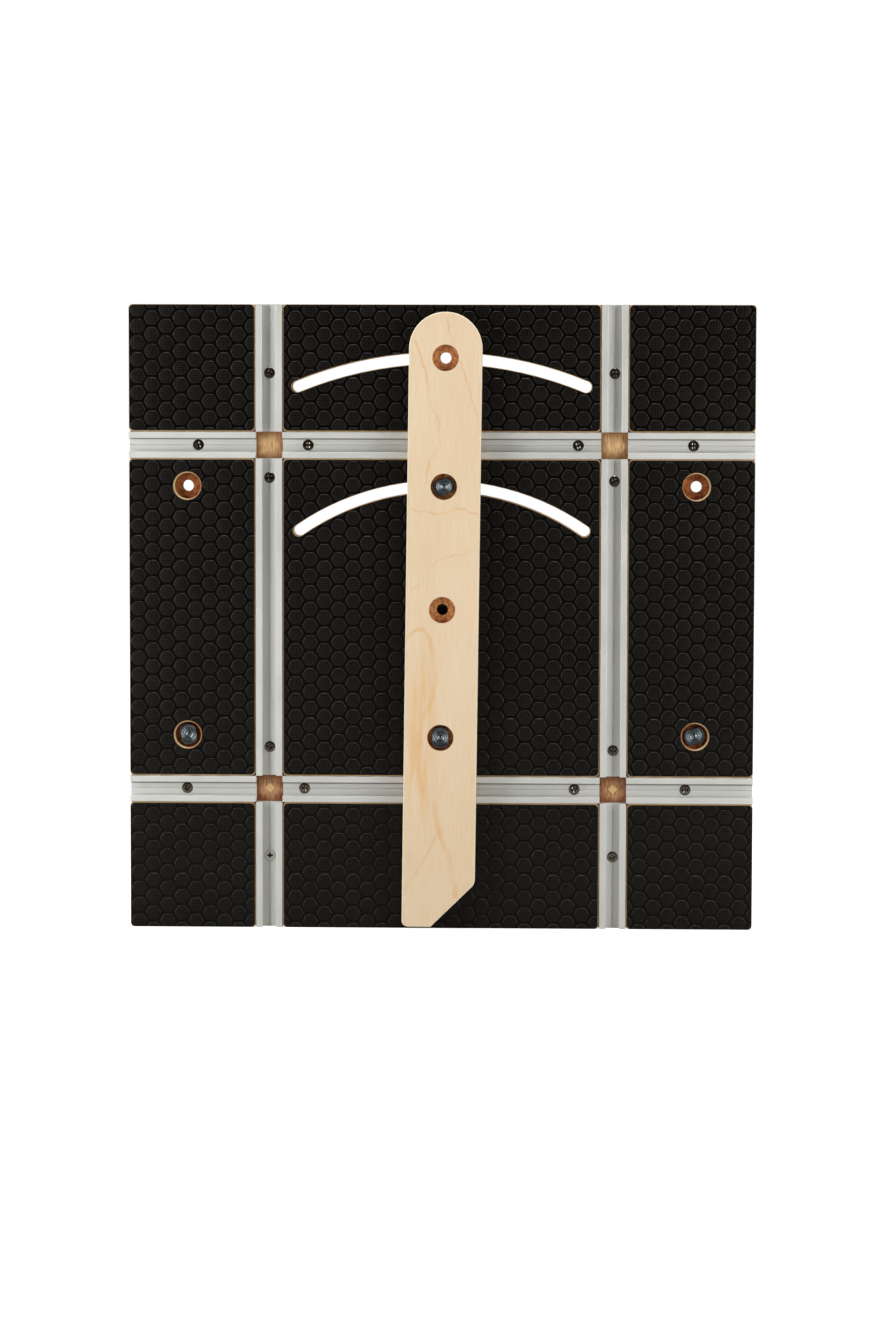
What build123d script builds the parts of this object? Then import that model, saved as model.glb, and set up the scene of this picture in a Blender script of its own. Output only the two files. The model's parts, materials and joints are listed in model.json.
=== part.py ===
from build123d import *
import os
from math import asin, cos, degrees, radians, sin

os.makedirs("parts", exist_ok=True)

# A slotted plywood panel with four sunk aluminium channels and a clamped swinging arm.
# The panel stands upright: +X is to its right, +Z is up and its front faces -Y.
# The origin is on the arm's pivot axis, at the panel's back face.

# ---- Panel, in mm --------------------------------------------------------------------
panel_width = 500.0
panel_height = 500.0
panel_thickness = 18.0
panel_corner_radius = 3.0
front_film_thickness = 0.8
back_film_thickness = 0.4
edge_break = 0.6  # width of the broken edge round the outside of the panel
pivot_above_bottom = 155.6

# ---- Grooves and channels ------------------------------------------------------------
track_inset_side = 112.0  # from a side edge to an upright channel's centre line
track_inset_end = 112.0  # from the top or bottom edge to a level channel's centre line
track_width = 21.0
track_height = 10.5
track_recess = 0.5  # channel lips below the front film
track_side_clearance = 0.2
track_opening = 10.9  # between the lips
track_lip_thickness = 1.8
track_wall = 1.6
track_floor_edge = 3.2  # floor thickness beside the walls
track_floor_middle = 2.6  # floor thickness where its two slopes meet
scribe_line_width = 0.9
scribe_line_depth = 0.5
track_edge_radius = 0.3
groove_chamfer = 1.3
cutter_corner_radius = 4.5

# ---- Channel screws ------------------------------------------------------------------
screw_radius = 2.1
screw_head_radius = 4.45
screw_point_length = 2.0
screw_cover = 1.6  # panel left behind a screw's point
screw_fit = 0.05
screw_clearance = 0.2  # in the channel's floor
countersink_clearance = 0.1
recess_length = 4.6
recess_width = 1.1
recess_depth = 1.5
# Each channel's screws: two distances from its top or left end, then two from its other end.
screws_left_channel = ((54.5, 138.0), (145.5, 57.5))
screws_right_channel = ((54.5, 140.4), (143.5, 57.5))
screws_upper_channel = ((55.0, 143.0), (141.0, 49.0))
screws_lower_channel = ((45.5, 140.0), (143.0, 54.0))

# ---- M8 bolts, washers and nut -------------------------------------------------------
bolt_radius = 4.0
bolt_clearance = 0.5  # round a bolt in a fixing hole or a slot
bolt_tip_chamfer = 1.0
fixing_shank_relief = 0.4  # radius taken off a fixing bolt inside the panel, up to its thread
bolt_head_radius = 8.5
bolt_head_across_flats = 13.0
bolt_head_height = 5.3
bolt_head_edge = 0.5
fixing_bolt_beyond_back = 22.0
pivot_bolt_beyond_nut = 1.8
guide_bolt_in_knob = 14.1
left_fixing_flat_angle = 80.0  # degrees, how each head happens to be turned
right_fixing_flat_angle = 14.0
pivot_flat_angle = 90.0
guide_flat_angle = 20.0
pivot_fit = 0.05  # radial running fit of the arm on the pivot bolt
head_gap = 0.3  # under the pivot bolt's head, so that the arm can turn
washer_clearance = 0.2
washer_radius = 8.0
washer_thickness = 1.6
guide_washer_radius = 12.0
guide_washer_thickness = 2.0
washer_gap = 0.3  # between the guide washer and the panel's back
nut_across_flats = 13.0
nut_hexagon_height = 5.8
nut_collar_height = 2.2
nut_collar_wall = 1.0
nut_ring_wall = 1.15
nut_ring_height = 1.8
thread_fit = 0.05

# ---- Fixing holes and arc slots ------------------------------------------------------
head_clearance = 1.875  # round a bolt head in the panel
counterbore_depth = 10.0
hole_chamfer = 1.375
fixing_inset_side = 46.5
fixing_below_channel = 32.6  # upper fixing holes below the upper channel's centre line
slot_chamfer = 0.8
lower_slot_below_channel = 32.4  # its highest point below the upper channel's centre line
upper_slot_below_top = 42.4
lower_slot_margin = 7.4  # from a slot's end to the edge of its field
upper_slot_margin = 6.4

# ---- Arm -----------------------------------------------------------------------------
arm_width = 58.0
arm_thickness = 18.0
arm_gap = 0.6  # between the arm and the front film
arm_lean = 0.67  # degrees, top to the right, as it is clamped at rest
arm_end_above_top_hole = 7.3  # centre of the round end above the top hole
arm_below_pivot = 152.0
arm_spare_hole_below_guide = 98.0
arm_head_clearance = 2.0  # round a bolt head in the arm
arm_counterbore_depth = 8.0
arm_cut = 35.0
arm_cut_radius = 8.0
arm_corner_radius = 5.0
arm_edge_break = 0.5

# ---- Clamping knob -------------------------------------------------------------------
knob_radius = 20.0
knob_flutes = 7
knob_flute_radius = 6.0
knob_flute_depth = 3.5
knob_hub_radius = 9.0
knob_hub_height = 8.0
knob_head_height = 15.0
knob_gap = 0.3
knob_lobe_radius = 2.0
knob_edge_radius = 1.5
knob_bore_beyond_insert = 4.0
insert_radius = 6.0
insert_length = 16.0
insert_fit = 0.02

# ---- Derived sizes and places --------------------------------------------------------
panel_bottom = -pivot_above_bottom
panel_top = panel_bottom + panel_height
panel_middle = panel_bottom + panel_height / 2
track_x = panel_width / 2 - track_inset_side
track_z_upper = panel_top - track_inset_end
track_z_lower = panel_bottom + track_inset_end
groove_width = track_width + 2 * track_side_clearance
groove_depth = track_height + track_recess
groove_floor = groove_depth - panel_thickness
groove_edge = groove_width / 2 + groove_chamfer
front_face = -panel_thickness
core_front = front_face + front_film_thickness
core_back = -back_film_thickness
screw_head_level = groove_floor - track_floor_middle
screw_length = -screw_cover - screw_head_level
bolt_hole_radius = bolt_radius + bolt_clearance
washer_bore_radius = bolt_radius + washer_clearance
counterbore_radius = bolt_head_radius + head_clearance
fixing_seat = front_face + counterbore_depth
fixing_x = panel_width / 2 - fixing_inset_side
fixing_z = track_z_upper - fixing_below_channel
slot_width = 2 * bolt_hole_radius
film_slot_width = slot_width + 2 * slot_chamfer
lower_slot_radius = track_z_upper - lower_slot_below_channel
upper_slot_radius = panel_top - upper_slot_below_top
slot_reach = track_x - groove_edge - slot_width / 2
lower_slot_half_angle = degrees(asin((slot_reach - lower_slot_margin) / lower_slot_radius))
upper_slot_half_angle = degrees(asin((slot_reach - upper_slot_margin) / upper_slot_radius))
arm_back = front_face - arm_gap
arm_front = arm_back - arm_thickness
arm_seat = arm_front + arm_counterbore_depth
guide_x = lower_slot_radius * sin(radians(arm_lean))
guide_z = lower_slot_radius * cos(radians(arm_lean))
knob_start = washer_gap + guide_washer_thickness + knob_gap
half_widths = (-panel_width / 2, panel_width / 2)
fixing_places = [(side * fixing_x, z) for side in (-1, 1) for z in (0.0, fixing_z)]

# Each field of the front between the grooves: its limits at the film.
column_limits = {
    "left": (edge_break - panel_width / 2, -track_x - groove_edge),
    "middle": (-track_x + groove_edge, track_x - groove_edge),
    "right": (track_x + groove_edge, panel_width / 2 - edge_break),
}
row_limits = {
    "top": (track_z_upper + groove_edge, panel_top - edge_break),
    "centre": (track_z_lower + groove_edge, track_z_upper - groove_edge),
    "bottom": (panel_bottom + edge_break, track_z_lower - groove_edge),
}

# Each length of channel, between an outside edge and a crossing or between two crossings.
segment_columns = {
    "left": (-panel_width / 2, -track_x - groove_width / 2),
    "middle": (-track_x + groove_width / 2, track_x - groove_width / 2),
    "right": (track_x + groove_width / 2, panel_width / 2),
}
segment_rows = {
    "top": (track_z_upper + groove_width / 2, panel_top),
    "centre": (track_z_lower + groove_width / 2, track_z_upper - groove_width / 2),
    "bottom": (panel_bottom, track_z_lower - groove_width / 2),
}



def along(low, high, from_high, from_low):
    """Places between two ends, from distances measured from each of them."""
    return [high - d for d in from_high] + [low + d for d in from_low]


# Each channel: its centre line's place, and (x, z) of its screws.
upright_channels = {
    "left": (-track_x, [(-track_x, z) for z in along(panel_bottom, panel_top, *screws_left_channel)]),
    "right": (track_x, [(track_x, z) for z in along(panel_bottom, panel_top, *screws_right_channel)]),
}
level_channels = {
    "upper": (track_z_upper, [(-x, track_z_upper) for x in along(*half_widths, *screws_upper_channel)]),
    "lower": (track_z_lower, [(-x, track_z_lower) for x in along(*half_widths, *screws_lower_channel)]),
}
channels = {**upright_channels, **level_channels}


def front_plane(y, x=0.0, z=0.0, lean=0.0):
    """An upright plane that looks out of the panel's front, turned about Y by a lean in degrees."""
    turn = radians(lean)
    return Plane(origin=(x, y, z), x_dir=(cos(turn), 0, -sin(turn)), z_dir=(0, -1, 0))


def arc_slot(radius, half_angle, width, mode=Mode.ADD):
    """Adds an arc slot about the pivot to the sketch that is open, or cuts it out."""
    with BuildLine(mode=Mode.PRIVATE) as centre_line:
        CenterArc((0, 0), radius, 90 - half_angle, 2 * half_angle)
    SlotArc(centre_line.edges()[0], width, mode=mode)


def field_outline(column, row, grow):
    """Adds one field's rounded outline, grown by a distance, to the sketch that is open."""
    left, right = column_limits[column]
    low, high = row_limits[row]
    with Locations(((left + right) / 2, (low + high) / 2)):
        RectangleRounded(
            right - left + 2 * grow, high - low + 2 * grow, cutter_corner_radius - groove_chamfer + grow
        )


def panel_outline():
    """Adds the panel's whole outline to the sketch that is open."""
    with Locations((0, panel_middle)):
        RectangleRounded(panel_width, panel_height, panel_corner_radius)


def finish(part, name):
    """Names a finished piece and writes it to its own file."""
    part.label = name
    export_step(part, f"parts/{name}.step")


# ---- Plywood core: a slab with nine raised fields, and every hole and slot -----------
with BuildPart() as panel_core:
    with BuildSketch(front_plane(core_back)):
        panel_outline()
    extrude(amount=core_back - groove_floor)
    for column in column_limits:
        for row in row_limits:
            with BuildSketch(front_plane(groove_floor)):
                field_outline(column, row, groove_chamfer)
            extrude(amount=groove_floor - core_front - groove_chamfer)
            with BuildSketch(front_plane(core_front + groove_chamfer)):
                field_outline(column, row, groove_chamfer)
            extrude(amount=groove_chamfer, taper=45)
    with BuildSketch(front_plane(0)):
        panel_outline()
    extrude(amount=panel_thickness, mode=Mode.INTERSECT)
    with BuildSketch(front_plane(0)):
        arc_slot(lower_slot_radius, lower_slot_half_angle, slot_width)
        arc_slot(upper_slot_radius, upper_slot_half_angle, slot_width)
    extrude(amount=panel_thickness, mode=Mode.SUBTRACT)
    with Locations(*[front_plane(core_front, x, z).location for x, z in fixing_places]):
        CounterBoreHole(
            bolt_hole_radius, counterbore_radius, counterbore_depth - front_film_thickness, panel_thickness
        )
    front_rims = panel_core.edges().filter_by(GeomType.CIRCLE).group_by(Axis.Y)[0]
    chamfer(front_rims.filter_by(lambda edge: abs(edge.radius - counterbore_radius) < 0.01), hole_chamfer)
    slot_radii = [slot_width / 2] + [
        radius + side * slot_width / 2
        for radius in (lower_slot_radius, upper_slot_radius)
        for side in (-1, 1)
    ]
    front_rims = panel_core.edges().filter_by(GeomType.CIRCLE).group_by(Axis.Y)[0]
    chamfer(
        front_rims.filter_by(lambda edge: any(abs(edge.radius - r) < 0.01 for r in slot_radii)), slot_chamfer
    )
    with Locations(front_plane(core_front).location):
        Hole(washer_bore_radius, panel_thickness)
    for _, screw_places in channels.values():
        with Locations(*[front_plane(groove_floor, x, z).location for x, z in screw_places]):
            Hole(screw_radius + screw_fit, screw_length - track_floor_middle + screw_fit)
finish(panel_core.part, "panel_core")

# ---- Front film: one textured sheet cut through by the grooves into nine fields ------
for column in column_limits:
    for row in row_limits:
        with BuildPart() as front_film:
            with BuildSketch(front_plane(core_front)):
                field_outline(column, row, 0)
                arc_slot(upper_slot_radius, upper_slot_half_angle, film_slot_width, Mode.SUBTRACT)
                arc_slot(lower_slot_radius, lower_slot_half_angle, film_slot_width, Mode.SUBTRACT)
                Circle(washer_bore_radius, mode=Mode.SUBTRACT)
                with Locations(*fixing_places):
                    Circle(counterbore_radius + hole_chamfer, mode=Mode.SUBTRACT)
            extrude(amount=front_film_thickness)
        finish(front_film.part, f"front_film_{row}_{column}")

# ---- Back film: one plain sheet with the same holes and slots ------------------------
with BuildPart() as back_film:
    with BuildSketch(front_plane(0)):
        panel_outline()
        arc_slot(lower_slot_radius, lower_slot_half_angle, slot_width, Mode.SUBTRACT)
        arc_slot(upper_slot_radius, upper_slot_half_angle, slot_width, Mode.SUBTRACT)
        Circle(washer_bore_radius, mode=Mode.SUBTRACT)
        with Locations(*fixing_places):
            Circle(bolt_hole_radius, mode=Mode.SUBTRACT)
    extrude(amount=back_film_thickness)
finish(back_film.part, "back_film")


# ---- Channels: one aluminium extrusion with a floor of two shallow slopes ------------
def channel_segment(section, length, screw_places):
    """One length of channel from the section's plane, countersunk for the screws in it."""
    cavity_edge = track_width / 2 - track_wall
    with BuildPart() as segment:
        with BuildSketch(section) as profile:
            with BuildLine():
                Polyline(
                    (0, track_floor_middle - scribe_line_depth),
                    (scribe_line_width / 2, track_floor_middle),
                    (cavity_edge, track_floor_edge),
                    (cavity_edge, track_height - track_lip_thickness),
                    (track_opening / 2, track_height - track_lip_thickness),
                    (track_opening / 2, track_height),
                    (track_width / 2, track_height),
                    (track_width / 2, 0),
                    (0, 0),
                    close=True,
                )
            make_face()
            mirror(about=Plane.YZ)
            fillet(profile.vertices().group_by(Axis.Y)[-1], track_edge_radius)
        extrude(amount=length)
        with Locations(*[front_plane(screw_head_level, x, z).location for x, z in screw_places]):
            CounterSinkHole(
                screw_radius + screw_clearance,
                screw_head_radius + countersink_clearance,
                track_height - track_floor_middle,
                counter_sink_angle=90,
            )
    return segment.part


for channel, (line, screw_places) in upright_channels.items():
    for place, (start, end) in segment_rows.items():
        section = Plane(origin=(line, groove_floor, start), x_dir=(-1, 0, 0), z_dir=(0, 0, 1))
        here = [(x, z) for x, z in screw_places if start < z < end]
        finish(channel_segment(section, end - start, here), f"track_{channel}_{place}")

for channel, (line, screw_places) in level_channels.items():
    for place, (start, end) in segment_columns.items():
        section = Plane(origin=(start, groove_floor, line), x_dir=(0, 0, 1), z_dir=(1, 0, 0))
        here = [(x, z) for x, z in screw_places if start < x < end]
        finish(channel_segment(section, end - start, here), f"track_{channel}_{place}")

# ---- Channel screws: four countersunk cross-recessed wood screws in each channel -----
for channel, (_, screw_places) in channels.items():
    with BuildPart() as screws:
        for x, z in screw_places:
            with BuildSketch(Plane(origin=(x, screw_head_level, z), x_dir=(1, 0, 0), z_dir=(0, 0, 1))):
                with BuildLine():
                    Polyline(
                        (0, 0),
                        (screw_head_radius, 0),
                        (screw_radius, screw_head_radius - screw_radius),
                        (screw_radius, screw_length - screw_point_length),
                        (0, screw_length),
                        close=True,
                    )
                make_face()
            revolve(axis=Axis((x, screw_head_level, z), (0, 1, 0)))
            with BuildSketch(front_plane(screw_head_level, x, z)):
                Rectangle(recess_length, recess_width, rotation=45)
                Rectangle(recess_width, recess_length, rotation=45)
            extrude(amount=-recess_depth, mode=Mode.SUBTRACT)
    finish(screws.part, f"screws_{channel}_channel")


# ---- M8 bolts: a turned round head with two flats, and a shank at thread diameter ----
def bolt(x, z, seat, tip, flat_angle, thread_start=None):
    """One M8 bolt with its shank from the seat back to the tip, relieved up to thread_start if it has one."""
    with BuildPart() as whole:
        with BuildSketch(front_plane(seat, x, z)):
            Circle(bolt_head_radius)
            Rectangle(2 * bolt_head_radius, bolt_head_across_flats, rotation=flat_angle, mode=Mode.INTERSECT)
        extrude(amount=bolt_head_height)
        chamfer(whole.faces().sort_by(Axis.Y)[0].edges(), bolt_head_edge)
        with BuildSketch(front_plane(seat, x, z)):
            Circle(bolt_radius)
        extrude(amount=seat - tip)
        chamfer(whole.faces().sort_by(Axis.Y)[-1].edges(), bolt_tip_chamfer)
        if thread_start is not None:
            with BuildSketch(front_plane(seat, x, z)):
                Circle(bolt_radius)
                Circle(bolt_radius - fixing_shank_relief, mode=Mode.SUBTRACT)
            extrude(amount=seat - thread_start, mode=Mode.SUBTRACT)
    return whole.part


pivot_bolt_tip = washer_thickness + nut_hexagon_height + nut_collar_height + pivot_bolt_beyond_nut
guide_bolt_tip = knob_start + guide_bolt_in_knob
with BuildPart() as fixing_bolts:
    add(bolt(-fixing_x, 0, fixing_seat, fixing_bolt_beyond_back, left_fixing_flat_angle, thread_start=0))
    add(bolt(fixing_x, 0, fixing_seat, fixing_bolt_beyond_back, right_fixing_flat_angle, thread_start=0))
finish(fixing_bolts.part, "fixing_bolts")
finish(bolt(0, 0, arm_seat - head_gap, pivot_bolt_tip, pivot_flat_angle), "pivot_bolt")
finish(bolt(guide_x, guide_z, arm_seat, guide_bolt_tip, guide_flat_angle), "guide_bolt")


# ---- Washers: one under the pivot's lock nut, a wider one across the arc slot --------
def washer(x, z, front, radius, thickness):
    """A flat washer whose front face is at a given depth."""
    with BuildPart() as flat_washer:
        with BuildSketch(front_plane(front, x, z)):
            Circle(radius)
            Circle(washer_bore_radius, mode=Mode.SUBTRACT)
        extrude(amount=-thickness)
    return flat_washer.part


finish(washer(0, 0, 0, washer_radius, washer_thickness), "pivot_washer")
finish(washer(guide_x, guide_z, washer_gap, guide_washer_radius, guide_washer_thickness), "guide_washer")

# ---- Lock nut: a hexagon with a round collar that holds a nylon ring -----------------
nut_collar_start = washer_thickness + nut_hexagon_height
nut_ring_radius = bolt_radius + thread_fit + nut_ring_wall
with BuildPart() as pivot_nut:
    with BuildSketch(front_plane(washer_thickness)):
        RegularPolygon(nut_across_flats / 2, 6, major_radius=False)
        Circle(bolt_radius + thread_fit, mode=Mode.SUBTRACT)
    extrude(amount=-nut_hexagon_height)
    with BuildSketch(front_plane(nut_collar_start)):
        Circle(nut_ring_radius + nut_collar_wall)
        Circle(nut_ring_radius, mode=Mode.SUBTRACT)
    extrude(amount=-nut_collar_height)
finish(pivot_nut.part, "pivot_nut")

with BuildPart() as nut_ring:
    with BuildSketch(front_plane(nut_collar_start)):
        Circle(nut_ring_radius - insert_fit)
        Circle(bolt_radius + thread_fit, mode=Mode.SUBTRACT)
    extrude(amount=-nut_ring_height)
finish(nut_ring.part, "nut_nylon_ring")

# ---- Arm: a plywood straight edge with a round top and one corner cut off ------------
spare_hole_height = lower_slot_radius - arm_spare_hole_below_guide
arm_hole_heights = [spare_hole_height, lower_slot_radius, upper_slot_radius]
arm_counterbore_radius = bolt_head_radius + arm_head_clearance
arm_face = front_plane(arm_front, lean=arm_lean)
round_end_centre = upper_slot_radius + arm_end_above_top_hole
with BuildPart() as arm:
    with BuildSketch(front_plane(arm_back, lean=arm_lean)) as outline:
        with BuildLine():
            right_side = Line((arm_width / 2, arm_cut - arm_below_pivot), (arm_width / 2, round_end_centre))
            RadiusArc(right_side @ 1, (-arm_width / 2, round_end_centre), -arm_width / 2)
            Polyline(
                (-arm_width / 2, round_end_centre),
                (-arm_width / 2, -arm_below_pivot),
                (arm_width / 2 - arm_cut, -arm_below_pivot),
                right_side @ 0,
            )
        make_face()
        corners = outline.vertices().sort_by(Axis.Y)
        fillet(corners[0:2].sort_by(Axis.X)[0], arm_corner_radius)
        fillet(outline.vertices().group_by(Axis.Y)[-2].sort_by(Axis.X)[-1], arm_cut_radius)
    extrude(amount=arm_thickness)
    chamfer(arm.faces().sort_by(Axis.Y)[0].edges(), arm_edge_break)
    with Locations(*[arm_face.location * Location((0, height, 0)) for height in arm_hole_heights]):
        CounterBoreHole(bolt_hole_radius, arm_counterbore_radius, arm_counterbore_depth, arm_thickness)
    with Locations(arm_face.location):
        CounterBoreHole(
            bolt_radius + pivot_fit, arm_counterbore_radius, arm_counterbore_depth, arm_thickness
        )
finish(arm.part, "arm")

# ---- Clamping knob: a fluted moulded head on a hub, with a brass insert --------------
knob_end = knob_start + knob_hub_height + knob_head_height
insert_end = knob_start + insert_length
with BuildPart() as knob:
    with BuildSketch(front_plane(knob_end, guide_x, guide_z)) as star:
        Circle(knob_radius)
        with PolarLocations(knob_radius + knob_flute_radius - knob_flute_depth, knob_flutes):
            Circle(knob_flute_radius, mode=Mode.SUBTRACT)
        fillet(star.vertices(), knob_lobe_radius)
    extrude(amount=knob_head_height)
    fillet(
        knob.faces().sort_by(Axis.Y)[-1].edges() + knob.faces().sort_by(Axis.Y)[0].edges(), knob_edge_radius
    )
    with BuildSketch(front_plane(knob_start, guide_x, guide_z)):
        Circle(knob_hub_radius)
    extrude(amount=-knob_hub_height)
    with BuildSketch(front_plane(knob_start, guide_x, guide_z)):
        Circle(insert_radius + insert_fit)
    extrude(amount=-insert_length, mode=Mode.SUBTRACT)
    with BuildSketch(front_plane(insert_end, guide_x, guide_z)):
        Circle(bolt_radius + thread_fit)
    extrude(amount=-knob_bore_beyond_insert, mode=Mode.SUBTRACT)
finish(knob.part, "knob")

with BuildPart() as knob_insert:
    with BuildSketch(front_plane(knob_start, guide_x, guide_z)):
        Circle(insert_radius)
        Circle(bolt_radius + thread_fit, mode=Mode.SUBTRACT)
    extrude(amount=-insert_length)
finish(knob_insert.part, "knob_insert")
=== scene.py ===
import json
from math import cos, pi, radians, sin, tau

import bmesh
import bpy
from mathutils import Matrix, Vector
from mathutils.bvhtree import BVHTree


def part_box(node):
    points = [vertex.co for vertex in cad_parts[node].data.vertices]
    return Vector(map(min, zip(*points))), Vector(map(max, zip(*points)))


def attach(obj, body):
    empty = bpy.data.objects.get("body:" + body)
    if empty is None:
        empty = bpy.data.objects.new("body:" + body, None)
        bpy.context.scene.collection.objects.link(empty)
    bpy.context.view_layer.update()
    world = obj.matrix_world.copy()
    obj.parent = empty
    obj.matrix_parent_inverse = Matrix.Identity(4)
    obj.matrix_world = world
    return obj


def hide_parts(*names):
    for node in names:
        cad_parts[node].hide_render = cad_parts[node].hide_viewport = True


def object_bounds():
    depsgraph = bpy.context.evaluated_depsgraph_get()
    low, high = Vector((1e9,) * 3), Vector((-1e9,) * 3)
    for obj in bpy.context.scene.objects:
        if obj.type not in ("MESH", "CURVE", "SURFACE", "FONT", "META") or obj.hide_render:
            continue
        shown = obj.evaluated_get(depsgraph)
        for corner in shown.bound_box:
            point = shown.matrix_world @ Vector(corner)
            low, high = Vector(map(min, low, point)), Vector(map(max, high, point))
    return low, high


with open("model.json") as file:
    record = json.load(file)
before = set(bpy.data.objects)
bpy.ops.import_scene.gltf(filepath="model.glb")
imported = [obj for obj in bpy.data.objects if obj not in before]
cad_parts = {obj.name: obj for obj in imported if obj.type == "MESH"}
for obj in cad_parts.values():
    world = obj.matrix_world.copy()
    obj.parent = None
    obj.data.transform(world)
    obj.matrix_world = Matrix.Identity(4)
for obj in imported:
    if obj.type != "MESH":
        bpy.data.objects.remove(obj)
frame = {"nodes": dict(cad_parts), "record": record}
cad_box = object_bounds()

MM = 0.001  # every mesh below is worked out in millimetres

# ---- Studio --------------------------------------------------------------------------
# The panel stands on a white acrylic table that is lit from beneath, in front of a white wall.
# A soft box stands close on each side and a small one hangs above. The room in front is dim.
table_colour = "#c6c5c3"
table_glow = 0.9
wall_light, room_light = 0.6, 0.06  # how bright the wall and the dim front of the room are
camera_place = (0.0830, -3.0623, 0.2799)
camera_yaw, camera_pitch, camera_roll = -1.533, -4.180, 0.123  # degrees, yaw to the right
lens_mm, sensor_mm = 103.3, 36.0
table_size = 9.0
panel_middle = Vector((0, 0, (cad_box[0].z + cad_box[1].z) / 2))


def linear(colour):
    """An sRGB hex colour as linear red, green, blue and alpha."""
    shares = [int(colour[i : i + 2], 16) / 255 for i in (1, 3, 5)]
    return (*[c / 12.92 if c <= 0.04045 else ((c + 0.055) / 1.055) ** 2.4 for c in shares], 1)


def add(tree, kind, settings, *ordered, **named):
    """Adds a shader node. Its inputs, in order or by name, take numbers, colours or other nodes."""
    node = tree.nodes.new("ShaderNode" + kind)
    for name, value in settings.items():
        setattr(node, name, value)
    sockets = [s for s in node.inputs if s.enabled]
    inputs = [(sockets[i], value) for i, value in enumerate(ordered)]
    for name, value in named.items():
        inputs.append((next(s for s in sockets if s.name == name.replace("_", " ")), value))
    for socket, value in inputs:
        if isinstance(value, bpy.types.Node):
            value = next(s for s in value.outputs if s.enabled)
        if isinstance(value, bpy.types.NodeSocket):
            tree.links.new(value, socket)
        else:
            socket.default_value = value
    return node


def new_material(name):
    """A material with no nodes yet, and its node tree."""
    made = bpy.data.materials.new(name)
    made.use_nodes = True
    made.node_tree.nodes.clear()
    return made, made.node_tree


def softbox(name, place, width, height, watts):
    """A soft box that faces the middle of the panel."""
    lamp = bpy.data.lights.new(name, "AREA")
    lamp.shape, lamp.size, lamp.size_y, lamp.energy = "RECTANGLE", width, height, watts
    stand = bpy.data.objects.new(name, lamp)
    stand.location = place
    stand.rotation_euler = (panel_middle - Vector(place)).to_track_quat("-Z", "Y").to_euler()
    stand.visible_camera = False
    bpy.context.scene.collection.objects.link(stand)


softbox("left_softbox", (-0.98, -0.78, 0.26), 0.54, 0.9, 9.4)
softbox("right_softbox", (0.98, -0.78, 0.23), 0.54, 0.9, 8.8)
softbox("top_softbox", (-0.10, -0.30, 1.50), 1.2, 0.3, 12)

world = bpy.data.worlds.new("white_room")
world.use_nodes = True
tree = world.node_tree
tree.nodes.clear()
way = add(tree, "TexCoord", {}).outputs["Generated"]
back = add(tree, "SeparateXYZ", {}, way).outputs["Y"]
lit = add(tree, "MapRange", {"clamp": True}, back, -0.3, 0.4, room_light, wall_light)
seen = add(tree, "LightPath", {}).outputs["Is Camera Ray"]
strength = add(tree, "Math", {"operation": "MAXIMUM"}, seen, lit)
backdrop = add(tree, "Background", {}, Color=(1, 1, 1, 1), Strength=strength)
add(tree, "OutputWorld", {}, Surface=backdrop)
bpy.context.scene.world = world
bpy.context.scene.view_settings.view_transform = "Standard"

# Frosted acrylic, lit from beneath: an even white with no shine and hardly a shadow. The glow is
# only for the eye, and lights nothing.
frosted_white, tree = new_material("frosted_white_acrylic")
place = add(tree, "TexCoord", {}).outputs["Object"]
frost = add(tree, "TexNoise", {}, Vector=place, Scale=900.0)
bump = add(tree, "Bump", {}, Strength=0.05, Distance=0.0002, Height=frost)
seen = add(tree, "LightPath", {}).outputs["Is Camera Ray"]
glow = add(tree, "Math", {"operation": "MULTIPLY"}, seen, table_glow)
shade = add(
    tree, "BsdfPrincipled", {},
    Base_Color=linear(table_colour), Roughness=0.9, Normal=bump,
    Emission_Color=(1, 1, 1, 1), Emission_Strength=glow,
)
add(tree, "OutputMaterial", {}, Surface=shade)
half = table_size / 2
table_level = cad_box[0].z
sheet = bpy.data.meshes.new("table")
corners = [(-half, -half), (half, -half), (half, half), (-half, half)]
sheet.from_pydata([(x, y, table_level) for x, y in corners], [], [(0, 1, 2, 3)])
sheet.materials.append(frosted_white)
table = bpy.data.objects.new("table", sheet)
bpy.context.scene.collection.objects.link(table)

camera = bpy.data.objects.new("camera", bpy.data.cameras.new("camera"))
camera.data.lens, camera.data.sensor_width = lens_mm, sensor_mm
camera.matrix_world = (
    Matrix.Translation(camera_place)
    @ Matrix.Rotation(-radians(camera_yaw), 4, "Z")
    @ Matrix.Rotation(radians(90 + camera_pitch), 4, "X")
    @ Matrix.Rotation(radians(camera_roll), 4, "Z")
)
bpy.context.scene.collection.objects.link(camera)
bpy.context.scene.camera = camera

# ---- Panel core ----------------------------------------------------------------------
# An 18 mm birch plywood board of thirteen plies. A router has cut its grooves, slots and
# counterbores, which leaves bare wood: pale on fresh chamfers, browner where the cutter rubbed.
ply_thickness, ply_wander = 1.34, 0.6
corner_shade = (9 * MM, 15 * MM)  # from a crossing's middle: where the painted shade in its corners begins and is full
corner_shade_ragged = 7 * MM  # how far the painted shade's edge wanders
groove_rub = (7.5 * MM, 11 * MM)  # from an upright groove's middle line: clean, then rubbed
film_edge_shade_depth = (0.3 * MM, 0.5 * MM)  # below the film: the dark glue line with painted shade, then clean
fixing_low, fixing_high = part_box("fixing_bolts")
fixing_x = (fixing_high.x - fixing_low.x) / 2 - 8.45 * MM  # their box goes half a head further
counterbore_radius = 10.5 * MM
left_track_low, left_track_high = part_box("track_left_top")
crossing_x = -(left_track_low.x + left_track_high.x) / 2
crossing_zs = [sum(corner.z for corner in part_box(f"track_{row}_left")) / 2 for row in ("lower", "upper")]
upper_fixing_z = next(
    m["pos_m"][2] for m in frame["record"]["mounts"] if m["name"] == "upper_fixing_holes"
)
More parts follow.
